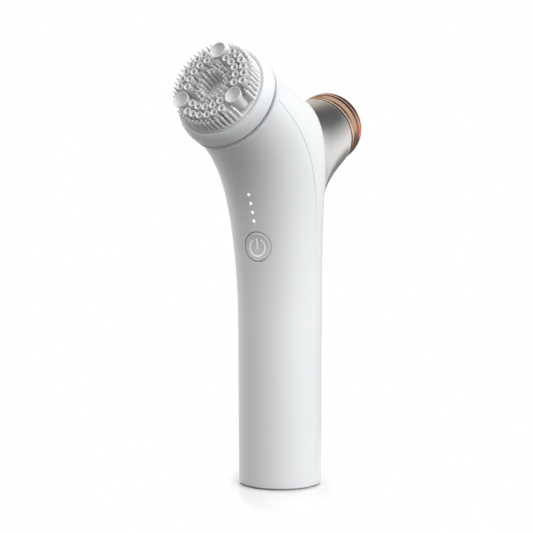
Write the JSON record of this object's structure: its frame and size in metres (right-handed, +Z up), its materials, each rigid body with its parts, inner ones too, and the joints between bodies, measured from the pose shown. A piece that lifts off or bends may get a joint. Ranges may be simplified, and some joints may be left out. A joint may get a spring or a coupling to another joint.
{
  "type": "electric skin scrubber",
  "caption": "Two-headed electric skin scrubber: a round grip that bends into a rotating silicone brush head, with a flared rear neck that carries a warm massage head.",
  "frame": {"origin": "centre of the flat foot under the grip", "axes": "+Z up the grip, -Y towards the brush head, +Y towards the massage head, X across, with the object symmetric about X = 0"},
  "size_m": [0.0452, 0.1206, 0.1835],
  "materials": {
    "white_shell": "satin moulded",
    "button_white": "satin moulded",
    "base_plastic": "fine matt",
    "silver_cover": "satin silver",
    "rose_gold": "rose gold plated",
    "silicone": "soft matt silicone",
    "dark_plastic": "moulded",
    "frame_plastic": "moulded",
    "gear_plastic": "moulded",
    "seal_rubber": "matt",
    "steel": "turned",
    "motor_can": "drawn can",
    "bearing_brass": "sintered",
    "contact_gold": "gold plated",
    "ceramic": "fired ceramic",
    "cell_wrap": "shrink sleeve",
    "board_green": "solder mask",
    "led_lens": "clear moulded"
  },
  "bodies": {
    "housing": {"front_shell": "white_shell", "rear_shell": "white_shell", "neck_collar": "white_shell", "base_cap": "base_plastic", "base_seal": "seal_rubber", "charge_contacts": "contact_gold", "rear_neck": "silver_cover", "trim_ring": "rose_gold", "head_collar": "rose_gold", "insulator_ring": "dark_plastic", "massage_plate": "rose_gold", "heater_disc": "ceramic", "head_base": "dark_plastic", "vib_motor": "motor_can", "spindle_bush": "bearing_brass", "rear_bush": "bearing_brass", "shaft_seal": "seal_rubber", "gear_housing": "frame_plastic", "motor": "motor_can", "gearbox_screws": "steel", "chassis": "frame_plastic", "battery": "cell_wrap", "main_board": "board_green", "board_screws": "steel", "tact_switch": "dark_plastic", "status_leds": "led_lens", "light_guide": "led_lens", "button_seal": "seal_rubber"},
    "drive": {"spindle": "steel", "drive_gear": "gear_plastic"},
    "brush_head": {"brush_carrier": "white_shell", "brush_pad": "silicone"},
    "pinion": {"motor_pinion": "bearing_brass"},
    "button": {"power_button": "button_white"},
    "vibrator": {"vib_weight": "bearing_brass"}
  },
  "joints": [
    {"name": "brush_spin", "type": "hinge", "parent": "housing", "child": "drive", "pos_m": [0, -0.04155, 0.16165], "axis": [0, -0.9426, 0.3338], "continuous": true},
    {"name": "brush_pull", "type": "slide", "parent": "drive", "child": "brush_head", "axis": [0, -0.9426, 0.3338], "range_m": [0, 0.01]},
    {"name": "pinion_spin", "type": "hinge", "parent": "housing", "child": "pinion", "pos_m": [0, -0.0453, 0.15105], "axis": [0, -0.9426, 0.3338], "continuous": true},
    {"name": "button_press", "type": "slide", "parent": "housing", "child": "button", "axis": [0, 0.9879, 0.155], "range_m": [0, 0.0005], "stiffness_N_per_m": 1500},
    {"name": "vib_spin", "type": "hinge", "parent": "housing", "child": "vibrator", "pos_m": [0, 0.0369, 0.15875], "axis": [0, 0.9063, 0.4226], "continuous": true}
  ],
  "couplings": [
    {"joint": "pinion_spin", "follows": "brush_spin", "ratio": -3}
  ]
}
